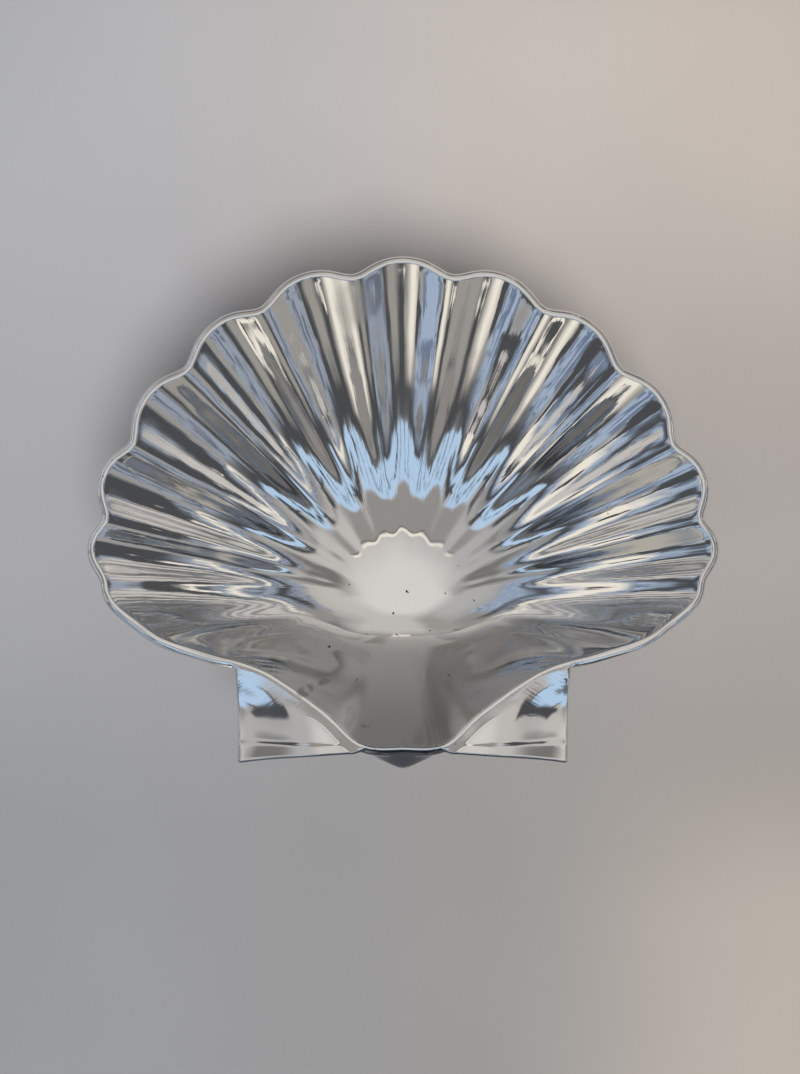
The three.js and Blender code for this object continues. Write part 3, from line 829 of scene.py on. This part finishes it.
def add_node(tree, kind, sockets=None, **settings):
    """A shader node with its settings, and with its sockets set or linked."""
    made = tree.nodes.new(kind)
    for name, value in settings.items():
        setattr(made, name, value)
    for name, value in (sockets or {}).items():
        if isinstance(value, bpy.types.NodeSocket):
            tree.links.new(value, made.inputs[name])
        elif isinstance(value, tuple) and made.inputs[name].type == "RGBA":
            made.inputs[name].default_value = (*value, 1)
        else:
            made.inputs[name].default_value = value
    return made


def calculate(tree, operation, *values):
    sockets = dict(enumerate(values))
    return add_node(tree, "ShaderNodeMath", sockets, operation=operation).outputs[0]


def mix_colour(tree, share, first, second):
    sockets = {0: share, 6: first, 7: second}
    return add_node(tree, "ShaderNodeMix", sockets, data_type="RGBA").outputs[2]


def between(tree, value, low, high, to_low=0.0, to_high=1.0):
    sockets = {
        "Value": value, "From Min": low, "From Max": high, "To Min": to_low, "To Max": to_high,
    }
    made = add_node(tree, "ShaderNodeMapRange", sockets, interpolation_type="SMOOTHSTEP")
    return made.outputs["Result"]


def rising(tree, value, span):
    """0 below a span, 1 above it."""
    return between(tree, value, *span)


def falling(tree, value, span):
    """1 below a span, 0 above it."""
    return between(tree, value, *span, 1.0, 0.0)


def both(tree, first, second):
    """Where both of two masks show."""
    return calculate(tree, "MULTIPLY", first, second)


def parts_of(tree, vector):
    return add_node(tree, "ShaderNodeSeparateXYZ", {"Vector": vector}).outputs


def noise(tree, vector, scale, detail=2.0, roughness=0.5):
    sockets = {"Vector": vector, "Scale": scale, "Detail": detail, "Roughness": roughness}
    return add_node(tree, "ShaderNodeTexNoise", sockets).outputs["Fac"]


def new_material(name, colour, roughness, metallic):
    material = bpy.data.materials.new(name)
    material.use_nodes = True
    shader = material.node_tree.nodes["Principled BSDF"]
    shader.inputs["Base Color"].default_value = (*colour, 1)
    shader.inputs["Roughness"].default_value = roughness
    shader.inputs["Metallic"].default_value = metallic
    return material, material.node_tree, shader


def out_from_focus(tree, x, y):
    """Distance in plan from the point that the flutes run to."""
    forward = calculate(tree, "SUBTRACT", y, FOCUS_Y * MM)
    square = calculate(tree, "MULTIPLY", x, x)
    return calculate(tree, "SQRT", calculate(tree, "MULTIPLY_ADD", forward, forward, square))


def along_flutes(tree, place):
    """Coordinates that run quickly round the fan's focus and slowly out from it."""
    x, y, z = parts_of(tree, place)
    angle = calculate(tree, "ARCTAN2", x, calculate(tree, "SUBTRACT", y, FOCUS_Y * MM))
    out = calculate(tree, "MULTIPLY", out_from_focus(tree, x, y), GRAIN_ALONG)
    across = calculate(tree, "MULTIPLY", angle, GRAIN_ACROSS)
    made = add_node(tree, "ShaderNodeCombineXYZ", {"X": across, "Y": out, "Z": z})
    return made.outputs["Vector"]


def bump(tree, height, distance, strength=1.0, normal=None):
    sockets = {"Height": height, "Distance": distance, "Strength": strength}
    if normal is not None:
        sockets["Normal"] = normal
    return add_node(tree, "ShaderNodeBump", sockets).outputs["Normal"]


def spots(tree, x, y, places, soft):
    """1 inside any of the given round or oval places in plan, with soft edges."""
    most = None
    for place in places:
        radii = place[2:] if len(place) == 4 else place[2:] * 2
        off_x = calculate(tree, "SUBTRACT", x, place[0] * MM)
        off_y = calculate(tree, "SUBTRACT", y, place[1] * MM)
        across = calculate(tree, "DIVIDE", off_x, radii[0] * MM)
        along = calculate(tree, "DIVIDE", off_y, radii[1] * MM)
        square = calculate(tree, "MULTIPLY", across, across)
        far = calculate(tree, "MULTIPLY_ADD", along, along, square)
        here = falling(tree, far, (1 - soft, 1 + soft))
        most = here if most is None else calculate(tree, "MAXIMUM", most, here)
    return most


def blemishes(tree, place):
    """Masks of the open pits, of the stains and of the place with a coarse polish."""
    x, y, _ = parts_of(tree, place)
    torn = noise(tree, place, *RAGGED_NOISE)
    ragged = calculate(tree, "MULTIPLY_ADD", torn, 2 * RAGGED, -RAGGED)
    torn_x = calculate(tree, "ADD", x, ragged)
    torn_y = calculate(tree, "SUBTRACT", y, ragged)
    large = spots(tree, torn_x, torn_y, PITS, PIT_EDGE)
    sockets = {"Vector": place, "Scale": PIT_CELLS}
    cells = add_node(tree, "ShaderNodeTexVoronoi", sockets).outputs["Distance"]
    small = falling(tree, cells, PIT_IN_CELL)
    few = rising(tree, noise(tree, place, *PIT_NOISE), PIT_SHOWS)
    pits = calculate(tree, "MAXIMUM", large, both(tree, small, few))
    patchy = rising(tree, noise(tree, place, *STAIN_NOISE), STAIN_SHOWS)
    stains = both(tree, spots(tree, torn_x, torn_y, STAINS, STAIN_EDGE), patchy)
    coarse = spots(tree, x, y, COARSE_PLACES, COARSE_EDGE)
    return pits, stains, coarse


def polish_relief(tree, place, grain, grained, below, pits):
    """Hand-worked waves, grain lines, the sand's grain underneath and the pits' hollows."""
    x, y, _ = parts_of(tree, place)
    aside = rising(tree, calculate(tree, "ABSOLUTE", x), LOBES_ASIDE)
    lobes = both(tree, aside, falling(tree, y, LOBES_UP_TO))
    waves = bump(tree, noise(tree, grain, *LOBE_NOISE), LOBE_WAVE, lobes)
    hand = bump(tree, noise(tree, place, *HAND_NOISE), HAND_WAVE, normal=waves)
    lines = bump(tree, noise(tree, grain, *GRAIN_NOISE), GRAIN_LINE, grained, hand)
    half_below = calculate(tree, "MULTIPLY", below, 0.5)
    sand = bump(tree, noise(tree, place, *SAND_NOISE), SAND_GRAIN, half_below, lines)
    return bump(tree, calculate(tree, "SUBTRACT", 1.0, pits), PIT_DEPTH, normal=sand)


def polish_roughness(tree, place, grain, grained, below, marks, coarse):
    haze = between(tree, noise(tree, place, *HAZE_NOISE), *HAZE_SHOWS, *HAZE)
    hairs = noise(tree, grain, *HAIRLINE_NOISE)
    hairlines = between(tree, hairs, *HAIRLINE_SHOWS, 0.0, HAIRLINE_ROUGHNESS)
    rough = calculate(tree, "MULTIPLY_ADD", hairlines, grained, haze)
    rough = calculate(tree, "MULTIPLY_ADD", below, SAND_ROUGHNESS, rough)
    rough = calculate(tree, "MULTIPLY_ADD", marks, STAIN_ROUGHNESS, rough)
    return calculate(tree, "MULTIPLY_ADD", coarse, COARSE_ROUGHNESS, rough)


def polish_tone_and_painted_shade(tree, y, to_fan, pits, stains):
    """The metal's tone, with painted shade down the hinge wall where it faces the far rim and on
    the beak's rear face where it faces away, and darker in stains and pits.
    """
    # Painted shade: the hinge wall is darkened where it faces the far rim.
    hinge = both(tree, falling(tree, y, HINGE_UP_TO), rising(tree, to_fan, HINGE_FACING))
    # Painted shade: the beak's rear face and the ears' hinge edges are darkened where they face
    # away from the fan.
    back_painted_shade = both(tree, falling(tree, y, BACK_UP_TO), falling(tree, to_fan, BACK_FACING))
    hinge_painted_shade_tone = mix_colour(tree, rising(tree, y, HINGE_DARKER), *HINGE_PAINTED_SHADE_TONES)
    tone = mix_colour(tree, hinge, ALUMINIUM, hinge_painted_shade_tone)
    tone = mix_colour(tree, back_painted_shade, tone, BACK_PAINTED_SHADE_TONE)
    faint = calculate(tree, "MULTIPLY", stains, STAIN_STRENGTH)
    tone = mix_colour(tree, faint, tone, STAIN_TONE)
    return mix_colour(tree, pits, tone, PIT_TONE)


def polished_aluminium():
    """Mirror polish with hand-worked waves, hairlines, pits and stains, satin underneath, and
    painted shade on the hinge wall and the beak.
    """
    material, tree, shader = new_material("polished_aluminium", ALUMINIUM, HAZE[0], 1)
    place = add_node(tree, "ShaderNodeTexCoord").outputs["Object"]
    x, y, _ = parts_of(tree, place)
    facing = add_node(tree, "ShaderNodeNewGeometry").outputs["Normal"]
    _, to_fan, upwards = parts_of(tree, facing)
    below = falling(tree, upwards, BELOW_FACING)
    grain = along_flutes(tree, place)
    on_flutes = rising(tree, out_from_focus(tree, x, y), FLUTES_FROM)
    grained = both(tree, on_flutes, rising(tree, y, BOWL_FROM))
    pits, stains, coarse = blemishes(tree, place)
    relief = polish_relief(tree, place, grain, grained, below, pits)
    tree.links.new(relief, shader.inputs["Normal"])
    marks = calculate(tree, "MAXIMUM", pits, stains)
    rough = polish_roughness(tree, place, grain, grained, below, marks, coarse)
    tree.links.new(rough, shader.inputs["Roughness"])
    tone = polish_tone_and_painted_shade(tree, y, to_fan, pits, stains)
    tree.links.new(tone, shader.inputs["Base Color"])
    return material


def turning_marks(tree, place, spacing, depth):
    """Fine grooves round the feet's axes, a little uneven."""
    _, _, height = parts_of(tree, place)
    turn = calculate(tree, "MULTIPLY", height, 2 * math.pi / (spacing * MM))
    uneven = calculate(tree, "ADD", turn, noise(tree, place, *UNEVEN_MARKS))
    return bump(tree, calculate(tree, "SINE", uneven), depth)


def turned_metal(name, tone, marks, wear, roughness):
    material, tree, shader = new_material(name, tone, roughness[0], 1)
    place = add_node(tree, "ShaderNodeTexCoord").outputs["Object"]
    tree.links.new(turning_marks(tree, place, *marks), shader.inputs["Normal"])
    worn = between(tree, noise(tree, place, *wear), *WEAR_SHOWS, *roughness)
    tree.links.new(worn, shader.inputs["Roughness"])
    return material


def turned_aluminium():
    finish = (TURNED_TONE, TURNED_MARKS, TURNED_WEAR, TURNED_ROUGHNESS)
    return turned_metal("turned_aluminium", *finish)


def fastener_steel():
    finish = (STEEL_TONE, STEEL_MARKS, STEEL_WEAR, STEEL_ROUGHNESS)
    return turned_metal("fastener_steel", *finish)


def pad_rubber():
    material, tree, shader = new_material("pad_rubber", RUBBER_TONE, RUBBER_ROUGHNESS, 0)
    place = add_node(tree, "ShaderNodeTexCoord").outputs["Object"]
    skin = bump(tree, noise(tree, place, *RUBBER_NOISE), RUBBER_GRAIN)
    tree.links.new(skin, shader.inputs["Normal"])
    dust = rising(tree, noise(tree, place, *DUST_NOISE), DUST_SHOWS)
    tone = mix_colour(tree, dust, RUBBER_TONE, DUST_TONE)
    tree.links.new(tone, shader.inputs["Base Color"])
    return material


# Studio

def floor_with_painted_light():
    """Matt table top with painted light and shade: darker grey near the hinge as painted shade,
    paler beyond the fan as painted light, a painted highlight in the near right corner, a cool
    painted light at left and a warm one at right.
    """
    material, tree, shader = new_material("floor", FLOOR_NEAR_PAINTED_SHADE, FLOOR_ROUGHNESS, 0)
    place = add_node(tree, "ShaderNodeTexCoord").outputs["Object"]
    x, y, _ = parts_of(tree, place)
    # Painted light and shade: the tones change with the place on the table, not with the lamp.
    corner = both(tree, rising(tree, x, CORNER_ASIDE), falling(tree, y, CORNER_UP_TO))
    near = mix_colour(tree, rising(tree, y, NEAR_TO_MIDDLE), FLOOR_NEAR_PAINTED_SHADE, FLOOR_MIDDLE_PAINTED_SHADE)
    near = mix_colour(tree, corner, near, FLOOR_CORNER_PAINTED_HIGHLIGHT)
    far = mix_colour(tree, rising(tree, x, FAR_LEFT_TO_RIGHT), FLOOR_FAR_LEFT_PAINTED_LIGHT, FLOOR_FAR_RIGHT_PAINTED_LIGHT)
    tone = mix_colour(tree, rising(tree, y, MIDDLE_TO_FAR), near, far)
    tint = mix_colour(tree, rising(tree, x, LEFT_TO_RIGHT), FLOOR_LEFT_PAINTED_COOL_LIGHT, FLOOR_RIGHT_PAINTED_WARM_LIGHT)
    cloud = between(tree, noise(tree, place, *FLOOR_NOISE), *FLOOR_SHOWS, *FLOOR_CLOUD)
    painted_light_and_shade = vector_math(tree, "MULTIPLY", tone, tint)
    uneven = add_node(tree, "ShaderNodeVectorMath", {0: painted_light_and_shade, "Scale": cloud}, operation="SCALE")
    tree.links.new(uneven.outputs[0], shader.inputs["Base Color"])
    return material


def staged(name, points, faces, material):
    """A piece of the studio, which isn't part of the dish."""
    mesh = bpy.data.meshes.new(name)
    mesh.from_pydata(points, [], faces)
    mesh.materials.append(material)
    piece = bpy.data.objects.new(name, mesh)
    bpy.context.collection.objects.link(piece)
    return piece


def floor():
    half = FLOOR_HALF_WIDTH
    corners = [(-half, -half, 0), (half, -half, 0), (half, half, 0), (-half, half, 0)]
    staged("floor", corners, [(0, 1, 2, 3)], floor_with_painted_light())


def camera():
    data = bpy.data.cameras.new("camera")
    data.sensor_width = SENSOR_WIDTH
    data.lens = SENSOR_WIDTH * CAMERA_ABOVE_RIM / PICTURE_HEIGHT
    eye = bpy.data.objects.new("camera", data)
    eye.location = Vector((*CAMERA_CENTRE, RIM_LEVEL + CAMERA_ABOVE_RIM)) * MM
    bpy.context.collection.objects.link(eye)
    bpy.context.scene.camera = eye


def lamp():
    """One large soft lamp, high on the hinge side. The polish mirrors the room instead of it."""
    data = bpy.data.lights.new("lamp", "AREA")
    data.shape = "DISK"
    data.size = LAMP_SIZE
    data.energy = LAMP_POWER
    data.color = LAMP_COLOUR
    made = bpy.data.objects.new("lamp", data)
    made.location = LAMP_PLACE
    made.rotation_euler = (-Vector(LAMP_PLACE)).to_track_quat("-Z", "Y").to_euler()
    made.visible_glossy = False
    made.visible_camera = False
    bpy.context.collection.objects.link(made)


def soft_band(tree, value, low, high, soft):
    """1 between two values and 0 outside, with soft ends."""
    rise = rising(tree, value, (low - soft, low + soft))
    fall = falling(tree, value, (high - soft, high + soft))
    return both(tree, rise, fall)


def vector_math(tree, operation, *values):
    sockets = dict(enumerate(values))
    return add_node(tree, "ShaderNodeVectorMath", sockets, operation=operation).outputs[0]


def warped(tree, direction):
    """The direction, pushed about a little so that the room's edges aren't ruled lines."""
    scale, detail = WARP_NOISE
    sockets = {"Vector": direction, "Scale": scale, "Detail": detail}
    cloud = add_node(tree, "ShaderNodeTexNoise", sockets).outputs["Color"]
    width = (ROOM_WARP,) * 3
    middle = (-ROOM_WARP / 2,) * 3
    push = vector_math(tree, "MULTIPLY_ADD", cloud, width, middle)
    return vector_math(tree, "NORMALIZE", vector_math(tree, "ADD", direction, push))


def with_clutter(tree, direction, elevation, colour):
    low = falling(tree, elevation, CLUTTER_UP_TO)
    clutter = noise(tree, direction, *CLUTTER_NOISE)
    for start, end, tint in CLUTTER:
        here = both(tree, low, between(tree, clutter, start, end))
        colour = mix_colour(tree, here, colour, tint)
    return colour


def room_tone(tree, direction):
    """The tone of the room in a direction from the dish."""
    x, y, z = parts_of(tree, warped(tree, direction))
    turn = calculate(tree, "ARCTAN2", x, calculate(tree, "MULTIPLY", y, -1.0))
    azimuth = calculate(tree, "DEGREES", turn)
    elevation = calculate(tree, "DEGREES", calculate(tree, "ARCSINE", z))
    colour = mix_colour(tree, rising(tree, x, CEILING_CHANGE), CEILING_LEFT, CEILING_RIGHT)
    twist = calculate(tree, "MULTIPLY", noise(tree, direction, *VEIN_NOISE), VEIN_TURNS)
    veined = rising(tree, calculate(tree, "SINE", twist), VEIN_EDGE)
    for (left, right, side_soft), (low, high, soft), tint in ROOM:
        across = soft_band(tree, azimuth, left, right, side_soft)
        here = both(tree, across, soft_band(tree, elevation, low, high, soft))
        if tint in VEINS:
            tint = mix_colour(tree, veined, tint, VEINS[tint])
        colour = mix_colour(tree, here, colour, tint)
    return with_clutter(tree, direction, elevation, colour)


def room_finish():
    """The room's walls and ceiling, which glow with the tones that the polish mirrors."""
    material = bpy.data.materials.new("room")
    material.use_nodes = True
    material.cycles.emission_sampling = "NONE"
    tree = material.node_tree
    tree.nodes.remove(tree.nodes["Principled BSDF"])
    place = add_node(tree, "ShaderNodeTexCoord").outputs["Object"]
    tone = room_tone(tree, vector_math(tree, "NORMALIZE", place))
    glow = add_node(tree, "ShaderNodeEmission", {"Color": tone}).outputs[0]
    tree.links.new(glow, tree.nodes["Material Output"].inputs["Surface"])
    return material


def room():
    """A dome far out round the table. The polish mirrors it, and the camera looks through it."""
    turn = np.linspace(-np.pi / 2, np.pi / 2, ROOM_RINGS + 1)
    profile = np.column_stack([np.cos(turn), np.sin(turn)]) * ROOM_RADIUS
    points, faces = grid_parts(lathed(profile, 2 * ROOM_RINGS))
    dome = staged("room", points, faces, room_finish())
    dome.visible_camera = False


def world():
    """The plain pale backdrop."""
    made = bpy.data.worlds.new("studio")
    made.use_nodes = True
    made.node_tree.nodes["Background"].inputs["Color"].default_value = (*BACKDROP, 1)
    bpy.context.scene.world = made


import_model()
bpy.context.scene.view_settings.view_transform = "Standard"
casting(polished_aluminium())
feet(turned_aluminium(), pad_rubber(), fastener_steel())
floor()
camera()
lamp()
room()
world()
